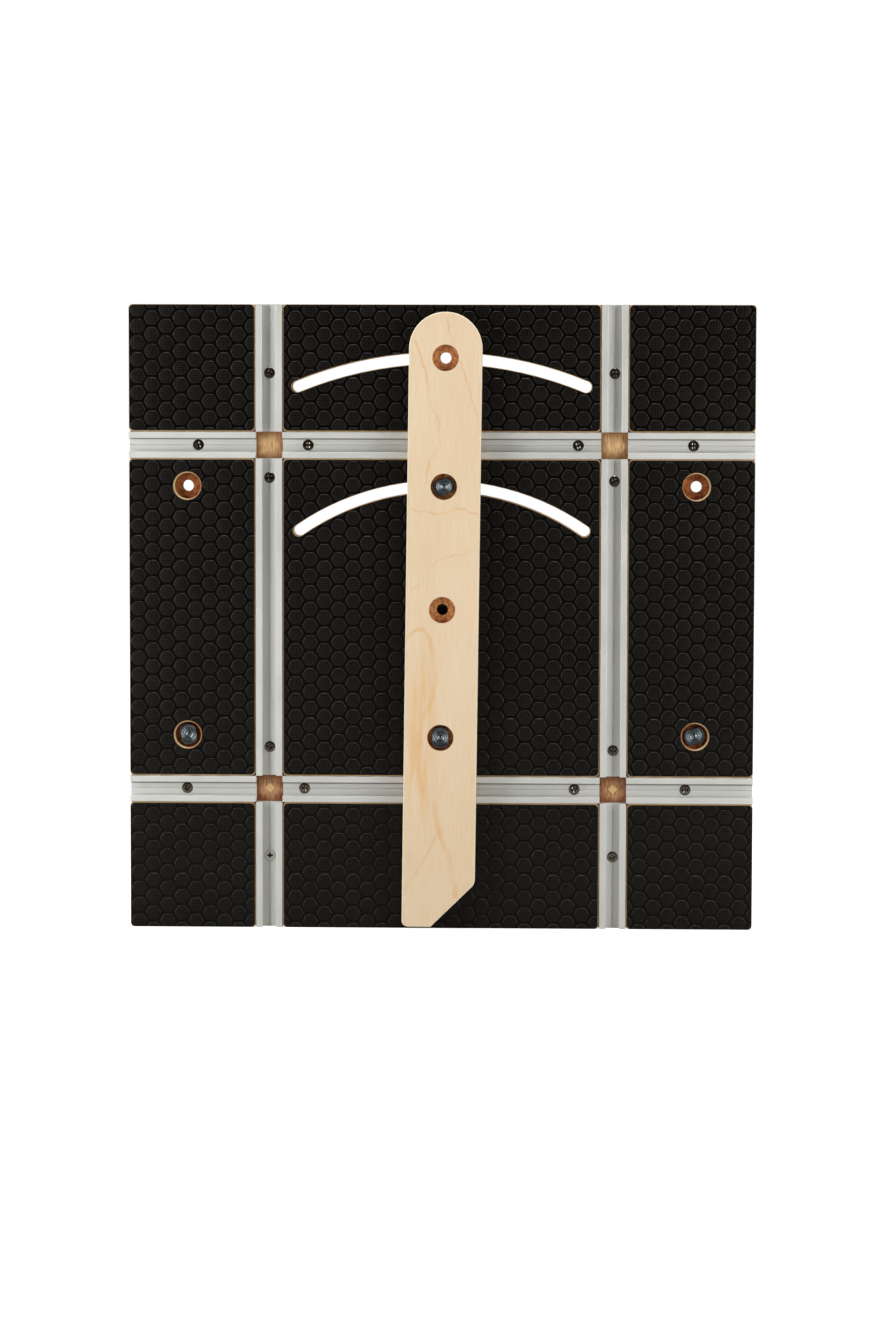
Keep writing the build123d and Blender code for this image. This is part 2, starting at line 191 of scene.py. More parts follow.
film_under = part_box("front_film_top_left")[1].y
test_cut_radius = 3.9 * MM  # half-diagonal of the small uncut diamond in a lower crossing


def dress(node, material):
    """Gives a CAD node one material."""
    mesh = frame["nodes"][node].data
    mesh.materials.clear()
    mesh.materials.append(material)


def ply_edge(tree, place, light, dark, glue, thickness):
    """A plywood edge's colour: long-grain and end-grain plies in turn, with dark glue lines."""
    depth = add(tree, "SeparateXYZ", {}, place).outputs["Y"]
    wander = add(tree, "TexNoise", {}, Vector=place, Scale=28.0, Detail=1.0)
    depth = add(tree, "Math", {"operation": "MULTIPLY_ADD"}, wander, ply_wander * MM, depth)
    turn = add(tree, "Math", {"operation": "MULTIPLY"}, depth, 1 / (2 * thickness * MM))
    turn = add(tree, "Math", {"operation": "FRACT"}, turn)
    bands = add(tree, "ValToRGB", {}, Fac=turn)
    stops = [(0.0, glue), (0.05, light), (0.45, light), (0.5, glue)]
    stops += [(0.55, dark), (0.95, dark), (1.0, glue)]
    for i, (place_in_ramp, colour) in enumerate(stops):
        stop = bands.color_ramp.elements[i] if i < 2 else bands.color_ramp.elements.new(place_in_ramp)
        stop.position, stop.color = place_in_ramp, linear(colour)
    return bands


def from_nearer(tree, coordinate, middle, reach):
    """How far a coordinate is from the nearer of two places, which lie at a reach from a middle."""
    offset = add(tree, "Math", {"operation": "SUBTRACT"}, coordinate, middle)
    offset = add(tree, "Math", {"operation": "ABSOLUTE"}, offset)
    return add(tree, "Math", {"operation": "SUBTRACT"}, offset, reach)


def radius_of(tree, side, rise):
    """The distance that a sideways and an upward offset make."""
    together = add(tree, "CombineXYZ", {}, side, rise, 0.0)
    return add(tree, "VectorMath", {"operation": "LENGTH"}, together).outputs["Value"]


def tinted(tree, noise, low, high, dark, light):
    """A colour that goes from dark to light as a noise goes from low to high."""
    share = add(tree, "MapRange", {"clamp": True}, noise, low, high, 0.0, 1.0)
    return add(tree, "MixRGB", {}, share, linear(dark), linear(light))


# Routed birch plywood: striped edges, short grain flecks on flat floors and a scorched brown, deepened
# with painted shade, in the blind holes. Painted shade also darkens the corners of the crossings and the
# wood just under the film's edge. It is dry and open, so it has next to no shine.
routed_birch, tree = new_material("routed_birch_plywood")
coordinates = add(tree, "TexCoord", {})
place = coordinates.outputs["Object"]
position = add(tree, "SeparateXYZ", {}, place)
facing = add(tree, "SeparateXYZ", {}, coordinates.outputs["Normal"])
flat = add(tree, "Math", {"operation": "ABSOLUTE"}, facing.outputs["Y"])
flat = add(tree, "MapRange", {"clamp": True}, flat, 0.88, 0.95, 0.0, 1.0)
edge = ply_edge(tree, place, "#ecd2a4", "#cfa874", "#a8794a", ply_thickness)
speckle = add(tree, "TexNoise", {}, Vector=place, Scale=1600.0, Detail=2.0)
edge = add(tree, "MixRGB", {"blend_type": "MULTIPLY"}, 0.35, edge, speckle.outputs["Color"])

stretched = add(tree, "Mapping", {}, place, Scale=(1400.0, 1400.0, 170.0))
fleck = add(tree, "TexNoise", {}, Vector=stretched, Scale=1.0, Detail=3.0, Roughness=0.6)
pale = tinted(tree, fleck, 0.30, 0.66, "#a87d4c", "#e2bc8a")
red = tinted(tree, fleck, 0.30, 0.70, "#85502d", "#d0a279")
half_rise = (crossing_zs[1] - crossing_zs[0]) / 2
low_row = add(tree, "Math", {"operation": "LESS_THAN"}, position.outputs["Z"], crossing_zs[0] + half_rise)
floor = add(tree, "MixRGB", {}, low_row, pale, red)

side_step = from_nearer(tree, position.outputs["X"], 0.0, crossing_x)
across = add(tree, "Math", {"operation": "ABSOLUTE"}, side_step)
upright = add(tree, "Math", {"operation": "SUBTRACT"}, position.outputs["Z"], crossing_zs[0])
upright = add(tree, "Math", {"operation": "ABSOLUTE"}, upright)
diamond = add(tree, "Math", {"operation": "ADD"}, across, upright)
diamond = add(tree, "Math", {"operation": "LESS_THAN"}, diamond, test_cut_radius)
floor = add(tree, "MixRGB", {}, diamond, floor, linear("#d9b27c"))
# Painted shade: the corners of each crossing, deep in the grooves, are darkened.
row_step = from_nearer(tree, position.outputs["Z"], crossing_zs[0] + half_rise, half_rise)
from_crossing = radius_of(tree, side_step, row_step)
blotch = add(tree, "TexNoise", {}, Vector=place, Scale=190.0, Detail=3.0)
from_crossing = add(tree, "Math", {"operation": "MULTIPLY_ADD"}, blotch, corner_shade_ragged, from_crossing)
corner_shaded = add(tree, "MapRange", {"clamp": True}, from_crossing, *corner_shade, 0.0, 0.75)
floor = add(tree, "MixRGB", {"blend_type": "MULTIPLY"}, corner_shaded, floor, linear("#a8805f"))
rubbed = add(tree, "MapRange", {"clamp": True}, across, *groove_rub, 0.0, 0.25)
floor = add(tree, "MixRGB", {"blend_type": "MULTIPLY"}, rubbed, floor, linear("#a5673a"))

# Scorched brown with painted shade inside the counterbores.
from_side = from_nearer(tree, position.outputs["X"], 0.0, fixing_x)
from_row = from_nearer(tree, position.outputs["Z"], upper_fixing_z / 2, upper_fixing_z / 2)
from_hole = radius_of(tree, from_side, from_row)
in_hole = add(tree, "Math", {"operation": "LESS_THAN"}, from_hole, counterbore_radius)
scorch = add(tree, "TexNoise", {}, Vector=place, Scale=420.0, Detail=3.0)
scorch_and_shade = tinted(tree, scorch, 0.32, 0.70, "#6e3413", "#b9743f")
wood = add(tree, "MixRGB", {}, flat, edge, floor)
wood = add(tree, "MixRGB", {}, in_hole, wood, scorch_and_shade)
# Painted shade: the wood just under the film's edge is darkened, together with the glue line.
film_edge_shade = add(
    tree, "MapRange", {"clamp": True}, position.outputs["Y"],
    film_under + film_edge_shade_depth[0], film_under + film_edge_shade_depth[1], 1.0, 0.0,
)
wood = add(tree, "MixRGB", {}, film_edge_shade, wood, linear("#1a120c"))
bump = add(tree, "Bump", {}, Strength=0.35, Distance=0.0003, Height=fleck)
shade = add(
    tree, "BsdfPrincipled", {},
    Base_Color=wood, Roughness=0.78, IOR=1.45, Specular_IOR_Level=0.3, Normal=bump,
)
add(tree, "OutputMaterial", {}, Surface=shade)
dress("panel_core", routed_birch)

# ---- Front film ----------------------------------------------------------------------
# A sheet of black phenolic film, pressed against a plate of hexagons and a wire mesh, so that
# each hexagon stands proud and carries the mesh. The router cuts it into nine fields.
hexagon_pitch = 13.27  # between rows in one column
column_pitch = hexagon_pitch * cos(radians(30))
first_hexagon = (-243.0, 340.2)
hexagon_gap = 1.7
film_base = 0.32  # thickness of the film between hexagons
mesh_wire_pitch = 2.0  # really about 1.3, drawn coarser so that it shows
# Each ring round a hexagon: how far it lies in from the foot, and its share of the height.
shoulder = ((0.0, 0.0), (0.15, 0.40), (0.35, 0.75), (0.6, 0.94), (0.85, 1.0))
corner_turn = 9.0  # degrees each side of a corner, which rounds it off
smallest_piece = 1.2  # a cut hexagon narrower than this tears away with the router
pad_foot, pad_face = 0.36 * MM, 0.06 * MM  # below the film's front: all groove, then all hexagon


def as_mesh(node):
    """A closed copy of a CAD node's mesh, in millimetres."""
    mesh = frame["nodes"][node].data
    copy = bmesh.new()
    verts = [copy.verts.new(v.co / MM) for v in mesh.vertices]
    for face in mesh.polygons:
        copy.faces.new([verts[i] for i in face.vertices])
    bmesh.ops.remove_doubles(copy, verts=copy.verts, dist=1e-3)
    copy.verts.index_update()
    return copy


def add_hexagon(mesh, x, z, foot_y, top_y):
    """Adds one closed hexagon, its flat sides above and below."""
    apothem = (hexagon_pitch - hexagon_gap) / 2
    rings = []
    for inset, height in shoulder:
        corner = (apothem - inset) / cos(radians(30 - corner_turn))
        ring = []
        for side in range(6):
            for turn in (-corner_turn, corner_turn):
                angle = radians(60 * side + turn)
                y = foot_y + (top_y - foot_y) * height
                ring.append(mesh.verts.new((x + corner * cos(angle), y, z + corner * sin(angle))))
        rings.append(ring)
    for low, high in zip(rings, rings[1:]):
        for i in range(len(low)):
            j = (i + 1) % len(low)
            mesh.faces.new((low[i], low[j], high[j], high[i]))
    mesh.faces.new(rings[-1])
    mesh.faces.new(list(reversed(rings[0])))


def new_piece(name, mesh, material, body, nodes, smooth=None):
    """Makes an object of a mesh in millimetres, which rides on a body in place of CAD nodes."""
    bmesh.ops.scale(mesh, vec=(MM,) * 3, verts=mesh.verts)
    bmesh.ops.recalc_face_normals(mesh, faces=mesh.faces)
    data = bpy.data.meshes.new(name)
    mesh.to_mesh(data)
    mesh.free()
    data.materials.append(material)
    piece = bpy.data.objects.new(name, data)
    bpy.context.scene.collection.objects.link(piece)
    if smooth:
        data.shade_smooth()
        data.set_sharp_from_angle(angle=radians(smooth))
    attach(piece, body)
    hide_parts(*nodes)


def boolean(body, tool, operation):
    """What a boolean of two meshes leaves, as a new mesh."""
    objects = []
    for mesh in (body, tool):
        data = bpy.data.meshes.new("cutting")
        mesh.to_mesh(data)
        objects.append(bpy.data.objects.new("cutting", data))
        bpy.context.scene.collection.objects.link(objects[-1])
    cut = objects[0].modifiers.new("cut", "BOOLEAN")
    cut.operation, cut.solver, cut.object = operation, "EXACT", objects[1]
    bpy.context.view_layer.update()
    done = objects[0].evaluated_get(bpy.context.evaluated_depsgraph_get())
    left = bmesh.new()
    left.from_mesh(done.to_mesh())
    for item in objects:
        bpy.data.objects.remove(item)
    return left


def loose_parts(mesh):
    """Each set of vertices that hangs together."""
    left, parts = set(mesh.verts), []
    while left:
        part, queue = set(), [left.pop()]
        while queue:
            vert = queue.pop()
            part.add(vert)
            near = {e.other_vert(vert) for e in vert.link_edges} & left
            left -= near
            queue += near
        parts.append(part)
    return parts


def drop_scraps(mesh):
    """Takes away loose parts that are too narrow to hold."""
    for part in loose_parts(mesh):
        spans = [max(v.co[a] for v in part) - min(v.co[a] for v in part) for a in (0, 2)]
        if min(spans) < smallest_piece:
            bmesh.ops.delete(mesh, geom=list(part), context="VERTS")


# Pressed phenolic film: nearly black and satin, a shade darker in the grooves, with the fine
# square print of the mesh on each hexagon, and worn edges painted lighter, most where they face up,
# as a painted highlight. It has a weak, broad shine.
pressed_film, tree = new_material("pressed_phenolic_film")
place = add(tree, "TexCoord", {}).outputs["Object"]
position = add(tree, "SeparateXYZ", {}, place)
film_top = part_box("front_film_top_left")[0].y
raised = add(
    tree, "MapRange", {"clamp": True}, position.outputs["Y"],
    film_top + pad_foot, film_top + pad_face, 0.0, 1.0,
)
waves = []
for axis in ("X", "Z"):
    wave = add(tree, "Math", {"operation": "MULTIPLY"}, position.outputs[axis], pi / (mesh_wire_pitch * MM))
    wave = add(tree, "Math", {"operation": "SINE"}, wave)
    waves.append(add(tree, "Math", {"operation": "ABSOLUTE"}, wave))
wire = add(tree, "Math", {"operation": "MINIMUM"}, *waves)
wire = add(tree, "MapRange", {"clamp": True}, wire, 0.1, 0.6, 0.0, 1.0)
# Wear and painted highlight: each hexagon's sloping edge is lighter, most where it faces up.
facing = add(tree, "SeparateXYZ", {}, add(tree, "TexCoord", {}).outputs["Normal"])
sloping = add(tree, "Math", {"operation": "ABSOLUTE"}, facing.outputs["Y"])
sloping = add(tree, "MapRange", {"clamp": True}, sloping, 0.80, 0.985, 1.0, 0.0)
upward = add(tree, "MapRange", {"clamp": True}, facing.outputs["Z"], -0.2, 0.35, 0.15, 1.0)
edge_wear_and_highlight = add(tree, "Math", {"operation": "MULTIPLY"}, sloping, upward)
rub = add(tree, "TexNoise", {}, Vector=place, Scale=140.0, Detail=2.0)
edge_wear_and_highlight = add(tree, "Math", {"operation": "MULTIPLY"}, edge_wear_and_highlight, rub)
grime = add(tree, "TexNoise", {}, Vector=place, Scale=22.0, Detail=4.0, Roughness=0.6)
grit = add(tree, "TexNoise", {}, Vector=place, Scale=750.0, Detail=2.0)
pad_colour = add(tree, "MixRGB", {}, grime, linear("#12110f"), linear("#1b1916"))
pad_colour = add(tree, "MixRGB", {"blend_type": "MULTIPLY"}, 0.35, pad_colour, grit.outputs["Color"])
pad_print = add(tree, "MapRange", {"clamp": True}, grime, 0.35, 0.65, 0.0, 0.45)
pad_print = add(tree, "Math", {"operation": "MAXIMUM"}, wire, pad_print)
printed = add(tree, "MixRGB", {}, pad_print, linear("#050403"), pad_colour)
printed = add(tree, "MixRGB", {}, edge_wear_and_highlight, printed, linear("#5a5751"))
film_colour = add(tree, "MixRGB", {}, raised, linear("#040303"), printed)
satin = add(tree, "MapRange", {"clamp": True}, grime, 0.3, 0.7, 0.33, 0.43)
satin = add(tree, "MapRange", {}, wire, 0.0, 1.0, 0.26, satin)
satin = add(tree, "MapRange", {}, raised, 0.0, 1.0, 0.2, satin)
print_bump = add(tree, "Bump", {}, Strength=0.5, Distance=0.00012, Height=wire)
grit_bump = add(tree, "Bump", {}, Strength=0.3, Distance=0.00006, Height=grit, Normal=print_bump)
shade = add(
    tree, "BsdfPrincipled", {},
    Base_Color=film_colour, Roughness=satin, IOR=1.5, Specular_IOR_Level=0.19,
    Specular_Tint=linear("#fff8ee"), Normal=grit_bump,
)
add(tree, "OutputMaterial", {}, Surface=shade)

for row in ("top", "centre", "bottom"):
    for column in ("left", "middle", "right"):
        node = f"front_film_{row}_{column}"
        low, high = (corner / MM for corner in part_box(node))
        field = as_mesh(node)
        field.normal_update()
        walls = [f for f in field.faces if abs(f.normal.y) < 0.5]
        rims = BVHTree.FromPolygons([v.co for v in field.verts], [[v.index for v in f.verts] for f in walls])
        whole = BVHTree.FromBMesh(field)
        foot_y, top_y = high.y - film_base + 0.05, low.y
        inner, crossed = bmesh.new(), bmesh.new()
        reach = hexagon_pitch / 2 / cos(radians(30))
        first_column = int((low.x - reach - first_hexagon[0]) // column_pitch)
        last_column = int((high.x + reach - first_hexagon[0]) // column_pitch) + 1
        for i in range(first_column, last_column + 1):
            x = first_hexagon[0] + i * column_pitch
            start_z = first_hexagon[1] + hexagon_pitch / 2 * (i % 2)
            first_row = int((start_z - high.z) // hexagon_pitch) - 1
            last_row = int((start_z - low.z) // hexagon_pitch) + 1
            for j in range(first_row, last_row + 1):
                z = start_z - j * hexagon_pitch
                centre = Vector((x, (low.y + high.y) / 2, z))
                near = rims.find_nearest(centre)[3]
                if near < reach:
                    add_hexagon(crossed, x, z, foot_y, top_y)
                elif whole.ray_cast(centre - Vector((0, 5, 0)), Vector((0, 1, 0)))[0]:
                    add_hexagon(inner, x, z, foot_y, top_y)
        for vert in field.verts:
            vert.co.y = (low.y - 1 if vert.co.y < (low.y + high.y) / 2 else high.y + 1)
        kept = boolean(crossed, field, "INTERSECT")
        drop_scraps(kept)
        for vert in field.verts:
            vert.co.y = (high.y - film_base if vert.co.y < (low.y + high.y) / 2 else high.y)
        for part in (kept, field):
            data = bpy.data.meshes.new("part")
            part.to_mesh(data)
            inner.from_mesh(data)
            bpy.data.meshes.remove(data)
            part.free()
        crossed.free()
        new_piece(
            f"hexagon_film_{row}_{column}", inner, pressed_film, "panel", [node], smooth=40
        )

# ---- Back film -----------------------------------------------------------------------
# The same kind of film without the pattern, on the side that goes against a machine or a wall.
# Dark brown smooth phenolic film: a satin sheen in which the veneer's grain shows faintly.
smooth_film, tree = new_material("smooth_phenolic_film")
place = add(tree, "TexCoord", {}).outputs["Object"]
stretched = add(tree, "Mapping", {}, place, Scale=(12.0, 12.0, 260.0))
grain = add(tree, "TexNoise", {}, Vector=stretched, Scale=1.0, Detail=4.0, Distortion=0.6)
cloud = add(tree, "TexNoise", {}, Vector=place, Scale=9.0, Detail=3.0)
film_colour = add(tree, "MixRGB", {}, cloud, linear("#1f1713"), linear("#33251d"))
film_colour = add(tree, "MixRGB", {"blend_type": "MULTIPLY"}, 0.3, film_colour, grain.outputs["Color"])
satin = add(tree, "MapRange", {"clamp": True}, cloud, 0.3, 0.7, 0.34, 0.48)
bump = add(tree, "Bump", {}, Strength=0.25, Distance=0.00015, Height=grain)
shade = add(tree, "BsdfPrincipled", {}, Base_Color=film_colour, Roughness=satin, IOR=1.5, Normal=bump)
add(tree, "OutputMaterial", {}, Surface=shade)
dress("back_film", smooth_film)

# ---- Channels ------------------------------------------------------------------------
# Twelve lengths of one aluminium extrusion with two lips over an open cavity. Each is sawn to
# length, natural anodised, laid in its groove and screwed down through its floor.
die_line = 0.45  # mm between the fine lines that the die leaves
mouth_half = 5.6  # of the open mouth between a channel's lips
behind_lips = left_track_low.y + 2.5 * MM
lip_shadow_soft_edge = 0.15


def anodised(name, along, lip_shadow_lines=()):
    """Anodised aluminium, drawn along one axis: a soft silver-grey with faint long die lines.

    A thin dark line of painted shadow lies under a level channel's upper lip, given as the height of the
    channel's middle and how far above it, in millimetres, the painted shadow begins.
    """
    made, tree = new_material(name)
    place = add(tree, "TexCoord", {}).outputs["Object"]
    scale = [1 / (die_line * MM)] * 3
    scale[along] = 0.5
    drawn = add(tree, "Mapping", {}, place, Scale=scale)
    lines = add(tree, "TexNoise", {}, Vector=drawn, Scale=1.0, Detail=2.0)
    bloom = add(tree, "TexNoise", {}, Vector=place, Scale=35.0, Detail=3.0)
    metal = add(tree, "MixRGB", {}, lines, linear("#e1e1dc"), linear("#f0f0eb"))
    metal = add(tree, "MixRGB", {"blend_type": "MULTIPLY"}, 0.05, metal, bloom.outputs["Color"])
    position = add(tree, "SeparateXYZ", {}, place)
    # Painted shadow: a dark line on the cavity floor, just under each level channel's upper lip.
    for middle, start in lip_shadow_lines:
        rise = add(tree, "Math", {"operation": "SUBTRACT"}, position.outputs["Z"], middle)
        edge = ((start - lip_shadow_soft_edge) * MM, (start + lip_shadow_soft_edge) * MM)
        lip_shadow = add(tree, "MapRange", {"clamp": True}, rise, *edge, 0.0, 0.62)
        below = add(tree, "Math", {"operation": "LESS_THAN"}, rise, mouth_half * MM)
        sunk = add(tree, "Math", {"operation": "GREATER_THAN"}, position.outputs["Y"], behind_lips)
        lip_shadow = add(tree, "Math", {"operation": "MULTIPLY"}, lip_shadow, below)
        lip_shadow = add(tree, "Math", {"operation": "MULTIPLY"}, lip_shadow, sunk)
        metal = add(tree, "MixRGB", {}, lip_shadow, metal, linear("#4c4944"))
    rough = add(tree, "MapRange", {"clamp": True}, bloom, 0.3, 0.7, 0.53, 0.61)
    bump = add(tree, "Bump", {}, Strength=0.12, Distance=0.00005, Height=lines)
    shade = add(tree, "BsdfPrincipled", {}, Base_Color=metal, Metallic=1.0, Roughness=rough, Normal=bump)
    add(tree, "OutputMaterial", {}, Surface=shade)
    return made


upright_aluminium = anodised("natural_anodised_aluminium_upright", along=2)
# The level channels carry the painted shadow under their upper lips.
level_aluminium = anodised(
    "natural_anodised_aluminium_level", along=0,
    lip_shadow_lines=((crossing_zs[0], 3.6), (crossing_zs[1], 4.3)),
)
for row in ("top", "centre", "bottom"):
    dress(f"track_left_{row}", upright_aluminium)
    dress(f"track_right_{row}", upright_aluminium)
for column in ("left", "middle", "right"):
    dress(f"track_upper_{column}", level_aluminium)
    dress(f"track_lower_{column}", level_aluminium)

# ---- Channel screws ------------------------------------------------------------------
# Sixteen countersunk wood screws, cold headed in steel with a cross recess, four to a channel.
# All but one are zinc plated and blackened; one has been replaced by a bright zinc one.
screw_segments = 48
recess_half_length, recess_half_width, recess_deep = 2.35, 0.62, 1.5
screw_pitch = 1.9
screw_thread_depth = 0.75
head_crown = 0.34  # how far the middle of a head stands out beyond its CAD disc
worn_flare, fresh_flare = 2.1, 1.25  # how much wider a recess is at its mouth
shaded_recess, rim_shade_start = 2.8, (4.1, 4.3)  # mm from the middle; painted shade lies within and beyond
recess_shade_depth = (0.3, 0.1)  # mm in front of the CAD disc: plain face, then recess in painted shade


def turned(mesh, rings, x, z, segments):
    """Adds a closed body of turned rings about the line through (x, z).

    A ring is its y and a function that gives its radius at an angle.
    """
    loops = []
    for y, radius in rings:
        loop = []
        for i in range(segments):
            angle = tau * i / segments
            r = radius(angle)
            loop.append(mesh.verts.new((x + r * cos(angle), y, z + r * sin(angle))))
        loops.append(loop)
    for low, high in zip(loops, loops[1:]):
        for i in range(segments):
            j = (i + 1) % segments
            mesh.faces.new((low[i], low[j], high[j], high[i]))
    mesh.faces.new(list(reversed(loops[0])))
    mesh.faces.new(loops[-1])


def round_ring(radius):
    """A ring's radius, the same all round."""
    return lambda angle: radius


def thread_ring(y, pitch, major, depth):
    """A ring's radius where a right-hand thread, blunt at crest and root, passes the level y."""
    def radius(angle):
        turn = (y / pitch + angle / tau) % 1
        return major - depth * min(1.0, max(0.0, abs(2 * turn - 1) * 1.3 - 0.15))
    return radius


def threaded(start, end, pitch, major, depth, steps=8):
    """Rings of a thread between two levels."""
    count = max(2, round((end - start) / pitch * steps))
    levels = [start + (end - start) * i / count for i in range(count + 1)]
    return [(y, thread_ring(y, pitch, major, depth)) for y in levels]


def cross_recess(x, z, top_y, turn, flare):
    """A tapered cross, to be cut out of a screw's head, with edges flared where a driver wore them."""
    tool = bmesh.new()
    levels = []
    # Each level is its depth, and its share of the cross's length and of its width.
    for depth, stretch, swell in (
        (-0.6, 1.1, 2 * flare - 0.2), (0.0, 1.02, flare), (0.28, 0.92, 1.05), (recess_deep, 0.55, 0.5)
    ):
        level = []
        for i in range(4):
            base = radians(90 * i + turn)
            half, reach = recess_half_width * swell, recess_half_length * stretch
            for u, v in ((half, -half), (reach, -half * 0.9), (reach, half * 0.9)):
                level.append(tool.verts.new(
                    (x + u * cos(base) - v * sin(base), top_y + depth, z + u * sin(base) + v * cos(base))
                ))
        levels.append(level)
    tool.faces.new(levels[0])
    tool.faces.new(list(reversed(levels[-1])))
    for front, back in zip(levels, levels[1:]):
        for i in range(len(front)):
            j = (i + 1) % len(front)
            tool.faces.new((front[j], front[i], back[i], back[j]))
    bmesh.ops.recalc_face_normals(tool, faces=tool.faces)
    return tool


def screw_places(node):
    """(x, z) of each loose part of a CAD node, which are its screws."""
    mesh = as_mesh(node)
    places = []
    for part in loose_parts(mesh):
        places.append([
            (max(v.co[a] for v in part) + min(v.co[a] for v in part)) / 2 for a in (0, 2)
        ])
    mesh.free()
    return sorted(places)


def plated(name, dark, light, roughness, shaded_at=None):
    """Zinc plating on steel: a thin metal skin whose shine clouds and shifts over a few millimetres.

    A screw's centre in millimetres puts painted shade into its recess and round its rim.
    """
    made, tree = new_material(name)
    place = add(tree, "TexCoord", {}).outputs["Object"]
    cloud = add(tree, "TexNoise", {}, Vector=place, Scale=260.0, Detail=4.0, Roughness=0.65)
    scuff = add(tree, "TexNoise", {}, Vector=place, Scale=1900.0, Detail=2.0)
    metal = add(tree, "MixRGB", {}, cloud, linear(dark), linear(light))
    # Painted shade: the recess and a thin ring at the rim are darkened.
    if shaded_at:
        position = add(tree, "SeparateXYZ", {}, place)
        side = add(tree, "Math", {"operation": "SUBTRACT"}, position.outputs["X"], shaded_at[0] * MM)
        rise = add(tree, "Math", {"operation": "SUBTRACT"}, position.outputs["Z"], shaded_at[1] * MM)
        away = radius_of(tree, side, rise)
        deep = add(
            tree, "MapRange", {"clamp": True}, position.outputs["Y"],
            (head_y - recess_shade_depth[0]) * MM, (head_y - recess_shade_depth[1]) * MM, 0.0, 1.0,
        )
        within = add(tree, "Math", {"operation": "LESS_THAN"}, away, shaded_recess * MM)
        deep = add(tree, "Math", {"operation": "MULTIPLY"}, deep, within)
        painted_rim = add(tree, "MapRange", {"clamp": True}, away, *(r * MM for r in rim_shade_start), 0.0, 0.9)
        painted_shade = add(tree, "Math", {"operation": "MAXIMUM"}, deep, painted_rim)
        metal = add(tree, "MixRGB", {}, painted_shade, metal, linear("#16130e"))
    rough = add(tree, "MapRange", {"clamp": True}, cloud, 0.3, 0.7, roughness - 0.06, roughness + 0.08)
    bump = add(tree, "Bump", {}, Strength=0.2, Distance=0.00004, Height=scuff)
    shade = add(tree, "BsdfPrincipled", {}, Base_Color=metal, Metallic=1.0, Roughness=rough, Normal=bump)
    add(tree, "OutputMaterial", {}, Surface=shade)
    return made


black_zinc = plated("black_zinc_plated_steel", "#3f3b32", "#8d8575", 0.11)
bright_zinc = plated("bright_zinc_plated_steel", "#a9a9a4", "#dcdcd6", 0.30)
screw_low, screw_high = (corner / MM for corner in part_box("screws_upper_channel"))
head_radius = (screw_high.z - screw_low.z) / 2
head_y, tip_y = screw_low.y, screw_high.y
screw_rings = [
    (head_y - head_crown, round_ring(2.9)), (head_y - 0.31, round_ring(3.6)),
    (head_y - 0.25, round_ring(4.05)), (head_y - 0.02, round_ring(head_radius - 0.08)),
    (head_y + 0.22, round_ring(head_radius)),
    (head_y + 0.45, round_ring(head_radius - 0.05)), (head_y + 2.45, round_ring(2.1)),
    *threaded(head_y + 2.6, tip_y - 1.6, screw_pitch, 2.1, screw_thread_depth),
    (tip_y - 1.0, round_ring(0.9)), (tip_y - 0.05, round_ring(0.12)),
]
for channel in ("left", "right", "upper", "lower"):
    node = f"screws_{channel}_channel"
    for number, (x, z) in enumerate(screw_places(node)):
        head = bmesh.new()
        turned(head, screw_rings, x, z, screw_segments)
        bmesh.ops.recalc_face_normals(head, faces=head.faces)
        turn = (23 * number + 17 * len(channel)) % 44 - 22  # degrees, as the driver left it
        bright = channel == "left" and number == 0
        recess = cross_recess(x, z, head_y - head_crown, turn, fresh_flare if bright else worn_flare)
        finish = black_zinc
        if bright:
            finish = plated("bright_zinc_plated_shaded_screw", "#c9c3b4", "#f4eee2", 0.42, shaded_at=(x, z))
        new_piece(
            f"screw_{channel}_{number + 1}", boolean(head, recess, "DIFFERENCE"), finish,
            "panel", [node], smooth=17,
        )

# ---- Bolts ---------------------------------------------------------------------------
# Four M8 bolts: two fix the panel, one is the arm's pivot and one is its guide. Each has a round
# head turned on a lathe, with two flats milled on it for a spanner, and a rolled thread.
bolt_segments = 72
bolt_pitch = 1.25
bolt_thread_depth = 0.62
flat_half = 6.5
head_edge = 0.5
seat_fillet = 0.5
lathe_ring = 0.5  # mm between the rings that a lathe tool leaves


def flatted_ring(radius, limit, flat_angle, flats=2):
    """A ring's radius where a round is cut by equal flats at a distance from its middle."""
    def at(angle):
        swing = (angle - radians(flat_angle)) % (tau / flats)
        swing = min(swing, tau / flats - swing)
        return min(radius, limit / max(cos(swing), 1e-3))
    return at


def bolt_rings(front_y, seat_y, tip_y, thread_y, shank, flat_angle):
    """Rings of a whole bolt from the middle of its turned face to its tip."""
    # The tool has left a centre hole and shallow grooves in the face: each ring's depth and radius.
    face = [
        (0.75, 0.25), (0.45, 0.55), (0.12, 0.85), (0.0, 1.15), (0.10, 1.5), (0.45, 2.0), (0.5, 2.3),
        (0.35, 2.7), (0.08, 3.2), (0.0, 3.5), (0.05, 3.8), (0.32, 4.25), (0.32, 4.5),
        (0.06, 4.9), (0.0, 5.2), (0.08, 5.5), (0.2, 5.75), (0.05, 6.0),
    ]
    rings = [(front_y + depth, round_ring(r)) for depth, r in face]
    for depth, r, limit in (
        (0.0, 7.3, flat_half - head_edge - 0.1), (0.03, 7.95, flat_half - head_edge),
        (head_edge, 8.5, flat_half), (seat_y - front_y - 0.25, 8.5, flat_half),
        (seat_y - front_y, 8.25, flat_half - 0.25),
    ):
        rings.append((front_y + depth, flatted_ring(r, limit, 90 + flat_angle)))
    rings += [(seat_y, round_ring(shank + seat_fillet)), (seat_y + seat_fillet, round_ring(shank))]
    rings += [(thread_y, round_ring(shank))]
    rings += threaded(thread_y + 0.4, tip_y - 1.0, bolt_pitch, 4.0, bolt_thread_depth)
    return rings + [(tip_y - 0.5, round_ring(3.45)), (tip_y, round_ring(2.9))]


